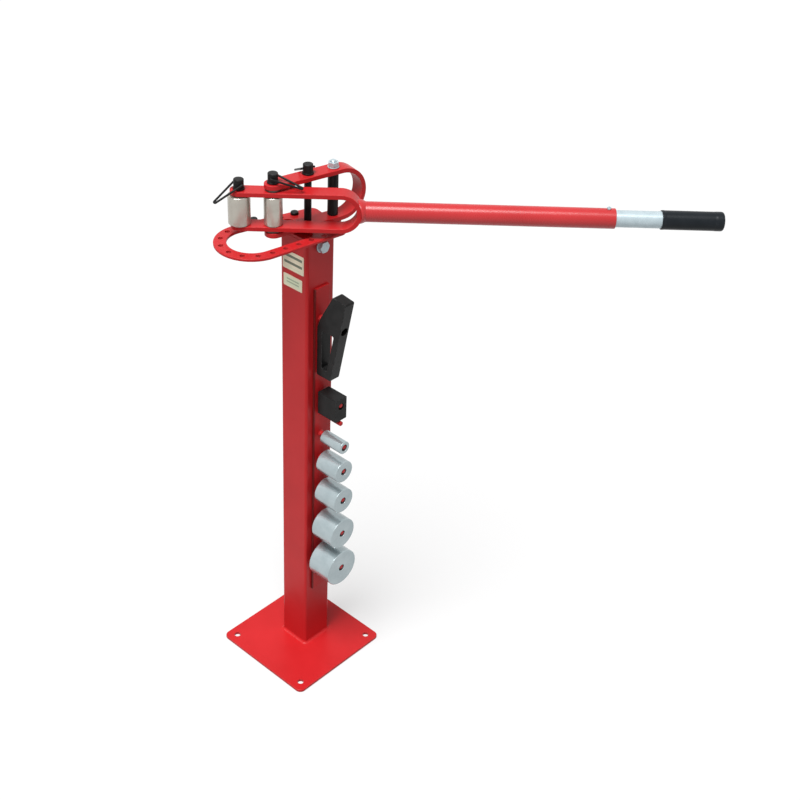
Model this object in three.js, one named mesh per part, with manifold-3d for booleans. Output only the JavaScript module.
// Pedestal bender: a square post on a floor plate carries a bending head with a long swing handle.
// Stock is laid between two upright round dies, and the handle swings one die round the other.
// The origin is on the floor at the post's axis, +Z is up, and X and Y run along the post's faces.

import * as THREE from 'three';
import { mergeVertices } from 'three/addons/utils/BufferGeometryUtils.js';
import Module from 'manifold-3d';

const wasm = await Module();
wasm.setup();

// clearances: between seated pieces, and how far a cutter runs past what it cuts
const gap = 0.3;
const overrun = 5;

// floor plate, set off from the post's axis
const plate_side = 228;
const plate_thick = 6;
const plate_corner = 12;
const plate_shift_x = -20;
const plate_shift_y = -9;
const anchor_bore = 12;
const anchor_inset = 20;

// square post, the bead round its foot and the plate that closes its top
const post_side = 66;
const post_wall = 3;
const post_corner = 5;
const post_height = 929;
const weld_leg = 5;
const cap_thick = 5.5;

// stub of the head inside the post, and the bolt through both
const socket_slack = 0.5;
const socket_wall = 4;
const socket_length = 150;
const cross_drop = 15;
const cross_bolt_size = 12;
const cross_bolt_flats = 19;
const cross_head_height = 7.5;
const cross_nut_height = 10;
const cross_washer_size = 24;
const cross_washer_thick = 2.5;
const bolt_slack = 0.5;
const thread_end = 3;

// head: flat bar, its places along the head's own axis, and its turn on the post
const head_turn_deg = -11.5;
const bar_width = 30;
const bar_thick = 8;
const pivot_reach = 68;
const pillar_reach = 50.5;
const bend_past_sleeve = 1.65;
const thrust_thick = 4;
const thrust_size = 26;

// racket-shaped index plate and its row of stop holes
const ring_thick = 5;
const ring_reach = 110;
const ring_inner = 42;
const ring_band = 22;
const throat_end = 48;
const throat_corner = 14;
const opening_end = 10;
const opening_half = 38;
const throat_band = 17;
const opening_corner = 10;
const tongue_past = 15.5;
const stop_pitch = 26.2;
const stop_count = 8;
const stop_size = 8;
const stop_slack = 0.4;
const stop_tail = 8;
const rear_stop_place = 4;
const rear_stop_head = 12.6;
const rear_stop_rise = 11;
const front_stop_place = 7;
const front_stop_head = 14;
const front_stop_rise = 5;

// pillar between the fixed legs
const pillar_size = 18.5;
const pillar_bolt_size = 10;
const pillar_bolt_flats = 17;
const pillar_head_height = 6.4;
const pillar_nut_height = 8;
const pillar_washer_size = 20;
const pillar_washer_thick = 2;

// swing arm and handle
const swing_turn_deg = -34.5;
const swing_reach = 147;
const arm_reach = 56;
const handle_size = 34.5;
const handle_wall = 2.5;
const handle_length = 423;
const handle_bead = 3.5;
const handle_bead_length = 7;
const slide_slack = 0.3;
const extension_wall = 2.7;
const extension_show = 78;
const extension_hidden = 200;
const grip_wall = 1.75;
const grip_length = 106;
const grip_end_wall = 4;
const grip_round = 5;
const screw_size = 5;
const screw_head = 7.5;
const screw_rise = 3;
const screw_inset = 12;

// quick pins with wire bails
const pin_size = 12.7;
const pin_slack = 0.4;
const pin_chamfer = 1;
const collar_size = 20;
const collar_thick = 3;
const pin_head_size = 17.5;
const pin_head_rise = 15;
const pin_tail_past = 3;
const bail_rise = 7.5;
const bail_wire = 3.2;
const bail_slack = 0.3;
const bail_length = 52;
const bail_tip_half = 2.4;
const bail_bend = 3;
const bail_air = 1.5;
const bail_rest = 0.8;
const bail_stub = 1.5;
const centre_bail_deg = -58;
const die_bail_deg = 168;
const hold_bail_deg = 71;

// round dies: two on the machine and five parked
const die_length = 52;
const die_play = 2;
const die_chamfer = 1;
const centre_die_size = 31.75;
const forming_die_size = 38.1;
const die_3_size = 76.2;
const die_2h_size = 63.5;
const die_2_size = 50.8;
const die_1t_size = 44.45;
const die_1_size = 25.4;
const die_stand_off = 10.7;

// flat bar down the post's front that carries the pegs
const rail_width = 36;
const rail_thick = 4;
const rail_corner = 1.5;
const rail_drop = 93.3;
const rail_foot_share = 0.745;

// pegs on that bar, and from the top down the clear run above each thing that hangs there
const peg_size = 9;
const peg_length = 62;
const peg_fillet = 3;
const yoke_peg_length = 41;
const block_peg_length = 51;
const spare_peg_length = 53;
const yoke_peg_drop = 155.3;
const block_air = 36.45;
const spare_peg_air = 3.05;
const die_1_air = 32.25;
const die_1t_air = 20.675;
const die_2_air = 21.075;
const die_2h_air = 23.85;
const die_3_air = 16.75;

const block_width = 28;
const block_depth = 46;
const block_height = 47;
const block_stand_off = 5.7;
const block_hole_rise = 6.5;

const yoke_thick = 22;
const yoke_shift = -3;
const yoke_height = 174;
const yoke_depth = 68;
const yoke_stand_off = 2;
const yoke_hang = 112;
const yoke_bore = 16;
const yoke_rear_leg = 12;
const yoke_front_leg = 13;
const yoke_foot = 17;
const yoke_window_share = 0.552;
const yoke_bottom_share = 0.507;
const yoke_front_top_share = 0.977;
const yoke_back_shares = [[0, 0.575], [0.103, 0.684], [0.426, 0.914], [0.544, 1]];

// plain stickers on the post's left face
const label_thick = 0.4;
const label_drop = 30.3;
const label_height = 36;
const label_step = 10;
const label_low_height = 24;
const label_back_margin = 6;
const label_front_margin = 8;
const label_low_back_margin = 8;
const label_low_front_margin = 12;

// heights of the stack on the post, from the floor up
const post_base = plate_thick + gap;
const post_top = post_base + post_height;
const cap_base = post_top + gap;
const cap_top = cap_base + cap_thick;
const ring_base = cap_top + gap;
const ring_top = ring_base + ring_thick;
const fixed_base = ring_top + gap;
const swing_base = fixed_base + bar_thick + thrust_thick + 2 * gap;
const die_room = die_length + die_play;
const swing_top = swing_base + 2 * bar_thick + die_room;
const fixed_top = swing_top + thrust_thick + 2 * gap + bar_thick;
const head_middle = (swing_base + swing_top) / 2;

// sizes that follow from those above
const bar_half = bar_width / 2;
const pin_bore = pin_size + 2 * pin_slack;
const stop_bore = stop_size + 2 * stop_slack;
const post_half = post_side / 2;
const rail_face = post_half + gap + rail_thick;
const fixed_reach = pillar_reach + pillar_size / 2 + bend_past_sleeve + (fixed_top - fixed_base) / 2;
const ring_outer = ring_inner + ring_band;
const throat_half = opening_half + throat_band;
const extension_size = handle_size - 2 * (handle_wall + slide_slack);
const grip_size = extension_size + 2 * (gap + grip_wall);
const bail_half = pin_head_size / 2 + bail_air + bail_wire / 2;
const degree = Math.PI / 180;

// heights down the post's front: what hangs on a peg rests a little below the peg's own axis
const die_hang = hangDrop(pin_bore);
const yoke_peg_height = post_top - yoke_peg_drop;
const yoke_base = yoke_peg_height - yoke_hang;
const block_base = yoke_base - block_air - block_height;
const block_peg_height = block_base + block_height / 2 + block_hole_rise + die_hang;
const spare_peg_height = block_base - spare_peg_air - peg_size / 2;
const die_1_base = spare_peg_height - peg_size / 2 - die_1_air - die_1_size;
const die_1t_base = die_1_base - die_1t_air - die_1t_size;
const die_2_base = die_1t_base - die_2_air - die_2_size;
const die_2h_base = die_2_base - die_2h_air - die_2h_size;
const die_3_base = die_2h_base - die_3_air - die_3_size;

// heights of the stickers, from the post's top
const label_base = post_top - label_drop - label_height;
const label_low_base = label_base - label_step - label_low_height;

// colours and surfaces
const red_paint = { color: 0xb5222b, roughness: 0.42, metalness: 0.0 };
const black_oxide = { color: 0x1d1f20, roughness: 0.5, metalness: 0.6 };
const zinc_plate = { color: 0xc6cac8, roughness: 0.32, metalness: 0.9 };
const turned_steel = { color: 0xb6bbb7, roughness: 0.36, metalness: 0.85 };
const soft_rubber = { color: 0x1f242b, roughness: 0.8, metalness: 0.0 };
const cream_film = { color: 0xe4dcc2, roughness: 0.55, metalness: 0.0 };

// solids

// makes a closed geometry into a solid that can be cut and joined
function toSolid(geometry) {
  const bare = geometry.clone();
  bare.deleteAttribute('normal');
  bare.deleteAttribute('uv');
  const merged = mergeVertices(bare);
  const corners = merged.index.array;
  const kept = [];
  for (let i = 0; i < corners.length; i += 3) {
    const [a, b, c] = [corners[i], corners[i + 1], corners[i + 2]];
    if (a !== b && b !== c && c !== a) kept.push(a, b, c);
  }
  const vertProperties = Float32Array.from(merged.attributes.position.array);
  const triVerts = Uint32Array.from(kept);
  return new wasm.Manifold(new wasm.Mesh({ numProp: 3, vertProperties, triVerts }));
}

// gives a solid back as a geometry
function toGeometry(solid) {
  const mesh = solid.getMesh();
  const geometry = new THREE.BufferGeometry();
  geometry.setAttribute('position', new THREE.BufferAttribute(Float32Array.from(mesh.vertProperties), 3));
  geometry.setIndex(new THREE.BufferAttribute(Uint32Array.from(mesh.triVerts), 1));
  geometry.computeVertexNormals();
  return geometry;
}

// points of an arc from one angle to another, both in degrees
function arc(x, y, radius, from, to, steps) {
  const points = [];
  for (let i = 0; i <= steps; i += 1) {
    const angle = (from + (to - from) * i / steps) * degree;
    points.push(new THREE.Vector2(x + radius * Math.cos(angle), y + radius * Math.sin(angle)));
  }
  return points;
}

// points of a whole circle, without the first one again at the end
function circle(x, y, radius, steps) {
  return arc(x, y, radius, 0, 360, steps).slice(0, steps);
}

// outline of a rectangle with rounded corners, anticlockwise
function roundedBox(x, y, wide, deep, radius, steps) {
  const [right, back] = [wide / 2 - radius, deep / 2 - radius];
  return [
    ...arc(x + right, y + back, radius, 0, 90, steps),
    ...arc(x - right, y + back, radius, 90, 180, steps),
    ...arc(x - right, y - back, radius, 180, 270, steps),
    ...arc(x + right, y - back, radius, 270, 360, steps),
  ];
}

// upright slab of an outline with holes, between two heights
function slab(outline, low, high, holes = []) {
  const shape = new THREE.Shape(outline);
  for (const hole of holes) shape.holes.push(new THREE.Path(hole));
  const geometry = new THREE.ExtrudeGeometry(shape, { depth: high - low, bevelEnabled: false });
  return geometry.translate(0, 0, low);
}

// body of revolution about Z from a profile of radius and height, listed from the bottom up outside
function turned(profile, steps) {
  const points = profile.map(([radius, height]) => new THREE.Vector2(radius, height));
  return new THREE.LatheGeometry(points, steps).rotateX(Math.PI / 2);
}

// turned ring of a bore and an outside, with chamfered outer edges
function turnedRing(bore, size, low, high, chamfer, steps) {
  const [inner, outer] = [bore / 2, size / 2];
  return turned([
    [inner, low],
    [outer - chamfer, low],
    [outer, low + chamfer],
    [outer, high - chamfer],
    [outer - chamfer, high],
    [inner, high],
    [inner, low],
  ], steps);
}

// upright round cutter
function drill(x, y, size, low, high, steps = 24) {
  return toSolid(slab(circle(x, y, size / 2, steps), low - overrun, high + overrun));
}

// hexagon of a given size across its flats
function hexagon(flats) {
  return circle(0, 0, flats / Math.sqrt(3), 6);
}

// hexagon bolt about Z with its head's seat at zero and its shank running up
function hexBolt(size, flats, head, length) {
  const cap = toSolid(slab(hexagon(flats), -head, 0));
  const shank = toSolid(slab(circle(0, 0, size / 2, 16), -head / 2, length));
  return toGeometry(cap.add(shank));
}

function hexNut(size, flats, height) {
  return slab(hexagon(flats), 0, height, [circle(0, 0, size / 2 + gap, 16)]);
}

function washer(size, bore, thick) {
  return slab(circle(0, 0, size / 2, 20), 0, thick, [circle(0, 0, bore / 2, 20)]);
}

// closed mesh round a rounded square: a small section, as offset and height, carried round it
function loftRing(side, corner, section, steps) {
  const loops = section.map(([offset, height]) => {
    const outline = roundedBox(0, 0, side + 2 * offset, side + 2 * offset, corner + offset, steps);
    return outline.map((point) => [point.x, point.y, height]);
  });
  const count = loops[0].length;
  const corners = [];
  loops.forEach((loop, i) => {
    const next = (i + 1) % loops.length;
    for (let j = 0; j < count; j += 1) {
      const k = (j + 1) % count;
      const [a, b, c, d] = [i * count + j, i * count + k, next * count + k, next * count + j];
      corners.push(a, b, c, a, c, d);
    }
  });
  const geometry = new THREE.BufferGeometry();
  geometry.setAttribute('position', new THREE.Float32BufferAttribute(loops.flat(2), 3));
  geometry.setIndex(corners);
  return geometry;
}

// path of straight runs whose corners are rounded
function bentPath(points, bend) {
  const path = new THREE.CurvePath();
  let from = points[0];
  for (let i = 1; i < points.length - 1; i += 1) {
    const back = points[i - 1].clone().sub(points[i]).setLength(bend).add(points[i]);
    const ahead = points[i + 1].clone().sub(points[i]).setLength(bend).add(points[i]);
    path.add(new THREE.LineCurve3(from, back));
    path.add(new THREE.QuadraticBezierCurve3(back, points[i], ahead));
    from = ahead;
  }
  path.add(new THREE.LineCurve3(from, points[points.length - 1]));
  return path;
}

// placing

function addPiece(parent, name, geometry, surface) {
  const mesh = new THREE.Mesh(geometry, new THREE.MeshStandardMaterial(surface));
  mesh.name = name;
  parent.add(mesh);
  return mesh;
}

function turnedGroup(parent, x, y, turn) {
  const group = new THREE.Group();
  group.position.set(x, y, 0);
  group.rotation.z = turn * degree;
  parent.add(group);
  return group;
}

// stand

function basePlate() {
  const reach = plate_side / 2 - anchor_inset;
  const holes = [[1, 1], [-1, 1], [-1, -1], [1, -1]].map(([x, y]) =>
    circle(plate_shift_x + x * reach, plate_shift_y + y * reach, anchor_bore / 2, 16));
  const outline = roundedBox(plate_shift_x, plate_shift_y, plate_side, plate_side, plate_corner, 5);
  return slab(outline, 0, plate_thick, holes);
}

function postTube() {
  const inside = post_side - 2 * post_wall;
  const outline = roundedBox(0, 0, post_side, post_side, post_corner, 4);
  const hollow = roundedBox(0, 0, inside, inside, post_corner - post_wall, 3);
  const tube = toSolid(slab(outline, post_base, post_top, [hollow]));
  return toGeometry(tube.subtract(crossDrill()));
}

// cutter for the bolt that runs through the post and the stub along Y
function crossDrill() {
  const size = cross_bolt_size + 2 * bolt_slack;
  const cutter = slab(circle(0, 0, size / 2, 16), -post_side, post_side);
  return toSolid(cutter.rotateX(Math.PI / 2).translate(0, 0, post_top - cross_drop));
}

function postWeld() {
  const low = post_base;
  const section = [[gap, low], [gap + weld_leg, low], [gap + weld_leg / 2, low + weld_leg / 2],
    [gap, low + weld_leg]];
  return loftRing(post_side, post_corner, section, 4);
}

function headSocket() {
  const side = post_side - 2 * (post_wall + socket_slack);
  const corner = post_corner - post_wall;
  const hollow = side - 2 * socket_wall;
  const outline = roundedBox(0, 0, side, side, corner, 3);
  const inner = roundedBox(0, 0, hollow, hollow, corner / 2, 2);
  const tube = toSolid(slab(outline, post_top - socket_length, post_top, [inner]));
  return toGeometry(tube.subtract(crossDrill()));
}

function capPlate() {
  const outline = roundedBox(0, 0, post_side, post_side, post_corner, 4);
  return slab(outline, cap_base, cap_top, [circle(0, 0, pin_bore / 2, 24)]);
}

function addCrossBolt(parent) {
  const seat = post_half + gap;
  const grip = 2 * (seat + cross_washer_thick + gap) + cross_nut_height + gap + thread_end;
  const axis = new THREE.Group();
  axis.position.set(0, 0, post_top - cross_drop);
  axis.rotation.x = -Math.PI / 2;
  parent.add(axis);
  const bore = cross_bolt_size + 2 * gap;
  const washerGeometry = washer(cross_washer_size, bore, cross_washer_thick);
  const bolt = hexBolt(cross_bolt_size, cross_bolt_flats, cross_head_height, grip);
  const nut = hexNut(cross_bolt_size, cross_bolt_flats, cross_nut_height);
  const head = seat + cross_washer_thick + gap;
  addPiece(axis, 'cross_washer_front', washerGeometry, zinc_plate).position.z = -seat - cross_washer_thick;
  addPiece(axis, 'cross_bolt', bolt, zinc_plate).position.z = -head;
  addPiece(axis, 'cross_washer_back', washerGeometry.clone(), zinc_plate).position.z = seat;
  addPiece(axis, 'cross_nut', nut, zinc_plate).position.z = head;
}

// bar against the post's front face, from part of the way up to the lowest die to above the top peg
function pegRail() {
  const foot = post_base + weld_leg;
  const [low, high] = [foot + rail_foot_share * (die_3_base - foot), post_top - rail_drop];
  const face = roundedBox(0, (low + high) / 2, rail_width, high - low, rail_corner, 2);
  return slab(face, post_half + gap, rail_face).rotateX(Math.PI / 2);
}

// peg welded to that bar, thick at its root
function peg(length) {
  const radius = peg_size / 2;
  return turned([
    [0, 0],
    [radius + peg_fillet, 0],
    [radius + peg_fillet / 3, peg_fillet / 3],
    [radius, peg_fillet],
    [radius, length - pin_chamfer],
    [radius - pin_chamfer, length],
    [0, length],
  ], 16);
}

function addPeg(parent, name, x, height, length) {
  const mesh = addPiece(parent, name, peg(length), red_paint);
  mesh.rotation.x = Math.PI / 2;
  mesh.position.set(x, -rail_face - gap, height);
}

function addLabel(parent, name, backMargin, frontMargin, base, tall) {
  const [back, front] = [post_half - backMargin, frontMargin - post_half];
  const face = [[back, base], [back, base + tall], [front, base + tall], [front, base]];
  const outline = face.map(([y, z]) => new THREE.Vector2(y, z));
  const sheet = acrossX(outline, label_thick);
  sheet.translate(-post_half - gap - label_thick / 2, 0, 0);
  addPiece(parent, name, sheet, cream_film);
}

// slab of an outline drawn in Y and Z, centred on X
function acrossX(outline, thick, holes = []) {
  const plate = slab(outline, -thick / 2, thick / 2, holes);
  const [x, y, z] = [new THREE.Vector3(1, 0, 0), new THREE.Vector3(0, 1, 0), new THREE.Vector3(0, 0, 1)];
  return plate.applyMatrix4(new THREE.Matrix4().makeBasis(y, z, x));
}

// head

// outline that runs from a big round end in to a narrower square end, all in tangents
function racket(reach, round, end, half, corner) {
  const along = end - corner + reach;
  const across = half - corner;
  const lean = Math.atan2(along, across) - Math.acos((round - corner) / Math.hypot(along, across));
  const normal = 90 - lean / degree;
  return {
    normal,
    big: arc(-reach, 0, round, normal, 360 - normal, 30),
    upper: arc(end - corner, across, corner, 0, normal, 5),
    lower: arc(end - corner, -across, corner, -normal, 0, 5),
  };
}

// place on the middle of the index band, a run away from its far end, on one side
function bandPlace(run, side) {
  const round = (ring_outer + ring_inner) / 2;
  const half = (throat_half + opening_half) / 2;
  const corner = (throat_corner + opening_corner) / 2;
  const { normal } = racket(ring_reach, round, (throat_end - opening_end) / 2, half, corner);
  const bend = (180 - normal) * degree * round;
  const angle = run < bend ? Math.PI - run / round : normal * degree;
  const past = Math.max(run - bend, 0);
  const x = -ring_reach + round * Math.cos(angle) + past * Math.sin(angle);
  const y = round * Math.sin(angle) - past * Math.cos(angle);
  return [x, side * y];
}

function stopPlace(index, side) {
  return bandPlace((index + 1 / 2) * stop_pitch, side);
}

function indexRing() {
  const outer = racket(ring_reach, ring_outer, throat_end, throat_half, throat_corner);
  const inner = racket(ring_reach, ring_inner, -opening_end, opening_half, opening_corner);
  const tongue = pillar_reach + tongue_past - bar_half;
  const outline = [
    ...arc(tongue, 0, bar_half, -90, 90, 10),
    new THREE.Vector2(throat_end, bar_half),
    ...outer.upper,
    ...outer.big,
    ...outer.lower,
    new THREE.Vector2(throat_end, -bar_half),
  ];
  const holes = [[...inner.upper, ...inner.big, ...inner.lower], circle(0, 0, pin_bore / 2, 24)];
  holes.push(circle(pillar_reach, 0, pillar_bolt_size / 2 + bolt_slack, 16));
  for (const side of [1, -1]) {
    for (let i = 0; i < stop_count; i += 1) {
      holes.push(circle(...stopPlace(i, side), stop_bore / 2, 12));
    }
  }
  return slab(outline, ring_base, ring_top, holes);
}

// flat bar bent to a U that lies on its side, its bend at reach and both legs ending at tip
function bentBar(tip, reach, low, high) {
  const outer = (high - low) / 2;
  const middle = (high + low) / 2;
  const centre = reach - outer;
  const outline = [
    new THREE.Vector2(tip, low),
    ...arc(centre, middle, outer, -90, 90, 18),
    new THREE.Vector2(tip, high),
    new THREE.Vector2(tip, high - bar_thick),
    ...arc(centre, middle, outer - bar_thick, 90, -90, 18),
    new THREE.Vector2(tip, low + bar_thick),
  ];
  return toSolid(slab(outline, -bar_half, bar_half).rotateX(Math.PI / 2));
}

// plan of a bar with a round tip, wide enough past the tip not to shave its edges
function roundTip(tip, reach, low, high) {
  const plan = [
    ...arc(tip + bar_half, 0, bar_half, 90, 270, 12),
    new THREE.Vector2(tip + bar_half, -bar_width),
    new THREE.Vector2(reach + overrun, -bar_width),
    new THREE.Vector2(reach + overrun, bar_width),
    new THREE.Vector2(tip + bar_half, bar_width),
  ];
  return toSolid(slab(plan, low - overrun, high + overrun));
}

function fixedFrame() {
  const tip = -pivot_reach - bar_half;
  const bar = bentBar(tip, fixed_reach, fixed_base, fixed_top);
  const trimmed = bar.intersect(roundTip(tip, fixed_reach, fixed_base, fixed_top));
  const pivot = drill(-pivot_reach, 0, pin_bore, fixed_base, fixed_top);
  const hold = drill(0, 0, pin_bore, fixed_base, fixed_top);
  const bolt = drill(pillar_reach, 0, pillar_bolt_size + 2 * bolt_slack, fixed_base, fixed_top, 16);
  return toGeometry(trimmed.subtract(pivot).subtract(hold).subtract(bolt));
}

function swingFrame() {
  const tip = -arm_reach - bar_half;
  const bar = bentBar(tip, swing_reach, swing_base, swing_top);
  const trimmed = bar.intersect(roundTip(tip, swing_reach, swing_base, swing_top));
  const pivot = drill(0, 0, pin_bore, swing_base, swing_top);
  const arm = drill(-arm_reach, 0, pin_bore, swing_base, swing_top);
  return toGeometry(trimmed.subtract(pivot).subtract(arm));
}

function addPillar(parent) {
  const [low, high] = [fixed_base + bar_thick + gap, fixed_top - bar_thick - gap];
  const bore = pillar_bolt_size + 2 * bolt_slack;
  const seat = ring_base - gap;
  const top = fixed_top + gap;
  const nutSeat = top + pillar_washer_thick + gap;
  const length = nutSeat + pillar_nut_height + thread_end - seat;
  const bolt = hexBolt(pillar_bolt_size, pillar_bolt_flats, pillar_head_height, length);
  const ring = washer(pillar_washer_size, bore, pillar_washer_thick);
  const nut = hexNut(pillar_bolt_size, pillar_bolt_flats, pillar_nut_height);
  const sleeve = slab(circle(0, 0, pillar_size / 2, 24), low, high, [circle(0, 0, bore / 2, 16)]);
  addPiece(parent, 'spacer_sleeve', sleeve, black_oxide).position.set(pillar_reach, 0, 0);
  addPiece(parent, 'spacer_bolt', bolt, zinc_plate).position.set(pillar_reach, 0, seat);
  addPiece(parent, 'spacer_washer', ring, zinc_plate).position.set(pillar_reach, 0, top);
  addPiece(parent, 'spacer_nut', nut, zinc_plate).position.set(pillar_reach, 0, nutSeat);
}

function addThrustWashers(parent) {
  const low = fixed_base + bar_thick + gap;
  const high = swing_top + gap;
  const ring = washer(thrust_size, pin_bore, thrust_thick);
  addPiece(parent, 'pivot_washer_low', ring, zinc_plate).position.set(-pivot_reach, 0, low);
  addPiece(parent, 'pivot_washer_high', ring.clone(), zinc_plate).position.set(-pivot_reach, 0, high);
}

// pins

// quick pin about Z: shaft down to its tail, collar on the seat, head bored across for the bail
function quickPin(tail, seat, across) {
  const [shaft, collar, head] = [pin_size / 2, collar_size / 2, pin_head_size / 2];
  const shoulder = seat + collar_thick;
  const top = shoulder + pin_head_rise;
  const body = turned([
    [0, tail],
    [shaft - pin_chamfer, tail],
    [shaft, tail + pin_chamfer],
    [shaft, seat],
    [collar, seat],
    [collar, shoulder],
    [head, shoulder],
    [head, top - pin_chamfer],
    [head - pin_chamfer, top],
    [0, top],
  ], 24);
  const bore = bail_wire / 2 + bail_slack;
  const cutter = slab(circle(0, 0, bore, 12), -collar_size, collar_size);
  cutter.rotateX(Math.PI / 2).rotateZ(across * degree).translate(0, 0, shoulder + bail_rise);
  return toGeometry(toSolid(body).subtract(toSolid(cutter)));
}

// hairpin of wire in X and Y: both ends lie in the head's cross bore, the tip points along X
function bailWire() {
  const points = [[0, -bail_stub], [0, -bail_half], [bail_length, -bail_tip_half],
    [bail_length, bail_tip_half], [0, bail_half], [0, bail_stub]]
    .map(([x, y]) => new THREE.Vector3(x, y, 0));
  const path = bentPath(points, Math.min(bail_bend, bail_tip_half));
  const section = new THREE.Shape(circle(0, 0, bail_wire / 2, 6));
  return new THREE.ExtrudeGeometry(section, { steps: 34, extrudePath: path, bevelEnabled: false });
}

// how far out from its pin a bail crosses the bar's long edge, from its angle to the bar
function edgeReach(turn) {
  const [across, along] = [Math.abs(Math.sin(turn * degree)), Math.abs(Math.cos(turn * degree))];
  return (bar_half + bail_half * along) / (across + (bail_half - bail_tip_half) / bail_length * along);
}

// droop, in degrees, at which a bail's wire just clears an edge that far out on the pin's seat
function droopOver(reach) {
  const rise = gap + collar_thick + bail_rise;
  const clear = bail_wire / 2 + bail_rest;
  return (Math.acos(clear / Math.hypot(rise, reach)) - Math.atan2(reach, rise)) / degree;
}

function addQuickPin(parent, names, x, tail, seat, turn, droop) {
  const place = turnedGroup(parent, x, 0, 0);
  addPiece(place, names[0], quickPin(tail, seat, turn), black_oxide);
  const bail = addPiece(place, names[1], bailWire(), black_oxide);
  bail.rotation.set(0, droop * degree, turn * degree, 'ZYX');
  bail.position.z = seat + collar_thick + bail_rise;
}

function stopPin(head, rise) {
  const radius = stop_size / 2;
  const [low, seat] = [ring_base - stop_tail, ring_top + gap];
  return turned([
    [0, low],
    [radius - pin_chamfer, low],
    [radius, low + pin_chamfer],
    [radius, seat],
    [head / 2, seat],
    [head / 2, seat + rise - pin_chamfer],
    [head / 2 - pin_chamfer, seat + rise],
    [0, seat + rise],
  ], 16);
}

// handle, all about the arm's own X axis

// body of revolution about X, at the height of the handle
function alongX(profile, steps) {
  return turned(profile, steps).rotateY(Math.PI / 2).translate(0, 0, head_middle);
}

// cutter that gives the handle's end the round of the bar's bend
function bendCutter() {
  const radius = (swing_top - swing_base) / 2;
  const round = slab(circle(0, 0, radius + gap, 48), -bar_width, bar_width).rotateX(Math.PI / 2);
  return toSolid(round.translate(swing_reach - radius, 0, head_middle));
}

function handleTube() {
  const [inner, outer] = [handle_size / 2 - handle_wall, handle_size / 2];
  const [start, end] = [swing_reach - bar_half, swing_reach + handle_length];
  const tube = alongX([[inner, start], [outer, start], [outer, end], [inner, end], [inner, start]], 24);
  const screw = drill(end - screw_inset, 0, screw_size + 2 * gap, head_middle + overrun + inner / 2,
    head_middle + handle_size, 12);
  return toGeometry(toSolid(tube).subtract(bendCutter()).subtract(screw));
}

function handleWeld() {
  const inner = handle_size / 2 + gap;
  const start = swing_reach - bar_half;
  const end = swing_reach + handle_bead_length;
  const ring = alongX([
    [inner, start],
    [inner + handle_bead, start],
    [inner + handle_bead, end - handle_bead_length / 2],
    [inner, end],
    [inner, start],
  ], 24);
  return toGeometry(toSolid(ring).subtract(bendCutter()));
}

function setScrew() {
  const x = swing_reach + handle_length - screw_inset;
  const low = head_middle + extension_size / 2 + gap;
  const seat = head_middle + handle_size / 2 + gap;
  const [shank, head] = [screw_size / 2, screw_head / 2];
  return turned([
    [0, low],
    [shank, low],
    [shank, seat],
    [head, seat],
    [head, seat + screw_rise],
    [0, seat + screw_rise],
  ], 12).translate(x, 0, 0);
}

function extensionTube() {
  const [inner, outer] = [extension_size / 2 - extension_wall, extension_size / 2];
  const shown = swing_reach + handle_length;
  const start = shown - extension_hidden;
  const end = shown + extension_show + grip_length - grip_end_wall - gap;
  return alongX([[inner, start], [outer, start], [outer, end], [inner, end], [inner, start]], 24);
}

function handGrip() {
  const [inner, outer] = [extension_size / 2 + gap, grip_size / 2];
  const start = swing_reach + handle_length + extension_show;
  const end = start + grip_length;
  const floor = end - grip_end_wall;
  const round = arc(end - grip_round, outer - grip_round, grip_round, 90, 0, 4);
  return alongX([
    [inner, start],
    [outer, start],
    ...round.map((point) => [point.y, point.x]),
    [0, end],
    [0, floor],
    [inner, floor],
    [inner, start],
  ], 24);
}

// parked tooling

// die about Z from zero up
function die(size) {
  return turnedRing(pin_bore, size, 0, die_length, die_chamfer, 32);
}

function addParkedDie(parent, name, size, base) {
  addPeg(parent, `peg_${name}`, 0, base + size / 2 + die_hang, peg_length);
  const mesh = addPiece(parent, name, die(size), turned_steel);
  mesh.rotation.x = Math.PI / 2;
  mesh.position.set(0, -rail_face - die_stand_off, base + size / 2);
}

// how far a hole's axis hangs below the axis of its peg
function hangDrop(bore) {
  return (bore - peg_size) / 2 - gap;
}

function squareBlock() {
  const hole = circle(0, block_hole_rise, pin_bore / 2, 20);
  return slab(roundedBox(0, 0, block_width, block_height, die_chamfer, 2), 0, block_depth, [hole]);
}

function addSquareBlock(parent) {
  const mesh = addPiece(parent, 'square_block', squareBlock(), black_oxide);
  mesh.rotation.x = Math.PI / 2;
  mesh.position.set(0, -rail_face - block_stand_off, block_base + block_height / 2);
}

// forked former: upright back edge, leaning front edge, a tall window and a hole for its peg
function angleYoke() {
  const rear = -rail_face - yoke_stand_off;
  const at = (y, z) => new THREE.Vector2(rear - y, yoke_base + z);
  const crown = yoke_front_top_share * yoke_height;
  const front = (z) => yoke_depth * (yoke_bottom_share + (1 - yoke_bottom_share) * z / crown);
  const head = yoke_window_share * yoke_height;
  const outline = [
    at(0, 0),
    ...yoke_back_shares.map(([y, z]) => at(y * yoke_depth, z * yoke_height)),
    at(yoke_depth, crown),
    at(front(0), 0),
  ];
  const window = [
    at(yoke_rear_leg, yoke_foot),
    at(yoke_rear_leg, head),
    at(front(head) - yoke_front_leg, head),
    at(front(yoke_foot) - yoke_front_leg, yoke_foot),
  ];
  const plate = toSolid(acrossX(outline, yoke_thick, [window]));
  const cutter = slab(circle(0, 0, yoke_bore / 2, 20), -yoke_depth, yoke_depth).rotateX(Math.PI / 2);
  const hole = toSolid(cutter.translate(0, rear - yoke_depth / 2, yoke_peg_height - hangDrop(yoke_bore)));
  return toGeometry(plate.subtract(hole));
}

// the whole machine

const bender = new THREE.Group();

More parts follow.
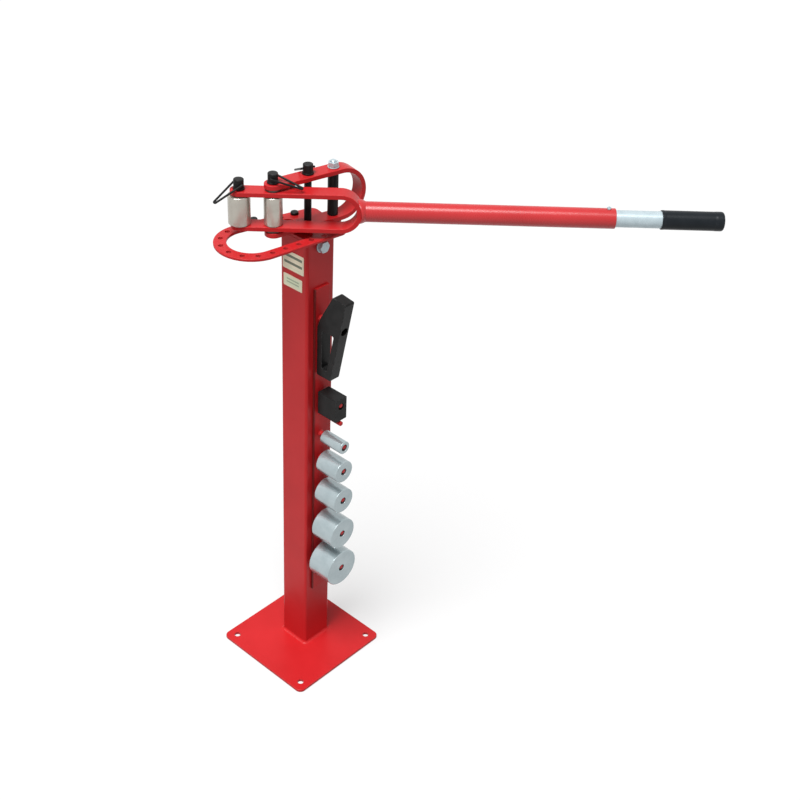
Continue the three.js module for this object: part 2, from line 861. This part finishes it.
addPiece(bender, 'base_plate', basePlate(), red_paint);
addPiece(bender, 'post_tube', postTube(), red_paint);
addPiece(bender, 'post_weld', postWeld(), red_paint);
addPiece(bender, 'head_socket', headSocket(), black_oxide);
addPiece(bender, 'cap_plate', capPlate(), red_paint);
addCrossBolt(bender);
addPiece(bender, 'peg_rail', pegRail(), red_paint);
addPeg(bender, 'peg_spare', 0, spare_peg_height, spare_peg_length);
addPeg(bender, 'peg_block', 0, block_peg_height, block_peg_length);
addPeg(bender, 'peg_yoke', yoke_shift, yoke_peg_height, yoke_peg_length);
addLabel(bender, 'label_upper', label_back_margin, label_front_margin, label_base, label_height);
addLabel(bender, 'label_lower', label_low_back_margin, label_low_front_margin, label_low_base,
  label_low_height);

addParkedDie(bender, 'die_3', die_3_size, die_3_base);
addParkedDie(bender, 'die_2h', die_2h_size, die_2h_base);
addParkedDie(bender, 'die_2', die_2_size, die_2_base);
addParkedDie(bender, 'die_1t', die_1t_size, die_1t_base);
addParkedDie(bender, 'die_1', die_1_size, die_1_base);
addSquareBlock(bender);
addPiece(bender, 'angle_yoke', angleYoke(), black_oxide).position.x = yoke_shift;

const head = turnedGroup(bender, 0, 0, head_turn_deg);
addPiece(head, 'index_ring', indexRing(), red_paint);
addPiece(head, 'fixed_frame', fixedFrame(), red_paint);
addPillar(head);
addThrustWashers(head);
const [rear_x, rear_y] = stopPlace(rear_stop_place, 1);
const [front_x, front_y] = stopPlace(front_stop_place, 1);
const rear_stop = addPiece(head, 'stop_pin_rear', stopPin(rear_stop_head, rear_stop_rise), black_oxide);
rear_stop.position.set(rear_x, rear_y, 0);
const front_stop = addPiece(head, 'stop_pin_front', stopPin(front_stop_head, front_stop_rise), black_oxide);
front_stop.position.set(front_x, front_y, 0);

// the pins' bails point in the machine's own directions, so the groups' turns are taken off
const centre_turn = centre_bail_deg - head_turn_deg;
const hold_turn = hold_bail_deg - head_turn_deg;
const die_turn = die_bail_deg - head_turn_deg - swing_turn_deg;
const seat_top = fixed_top + gap;
const centre_tail = fixed_base - pin_tail_past;
const hold_tail = cap_base + gap;
addQuickPin(head, ['centre_pin', 'centre_bail'], -pivot_reach, centre_tail, seat_top, centre_turn,
  droopOver(edgeReach(centre_turn)));
addQuickPin(head, ['hold_pin', 'hold_bail'], 0, hold_tail, seat_top, hold_turn,
  droopOver(edgeReach(hold_turn)));
const die_base = swing_base + bar_thick + gap;
addPiece(head, 'centre_die', die(centre_die_size), turned_steel).position.set(-pivot_reach, 0, die_base);

const swing = turnedGroup(head, -pivot_reach, 0, swing_turn_deg);
addPiece(swing, 'swing_frame', swingFrame(), red_paint);
addPiece(swing, 'handle_tube', handleTube(), red_paint);
addPiece(swing, 'handle_weld', handleWeld(), red_paint);
addPiece(swing, 'set_screw', setScrew(), zinc_plate);
addPiece(swing, 'extension_tube', extensionTube(), zinc_plate);
addPiece(swing, 'hand_grip', handGrip(), soft_rubber);
addPiece(swing, 'forming_die', die(forming_die_size), turned_steel).position.set(-arm_reach, 0, die_base);
addQuickPin(swing, ['die_pin', 'die_bail'], -arm_reach, swing_base, swing_top + gap, die_turn,
  droopOver(bar_half));

export default bender;
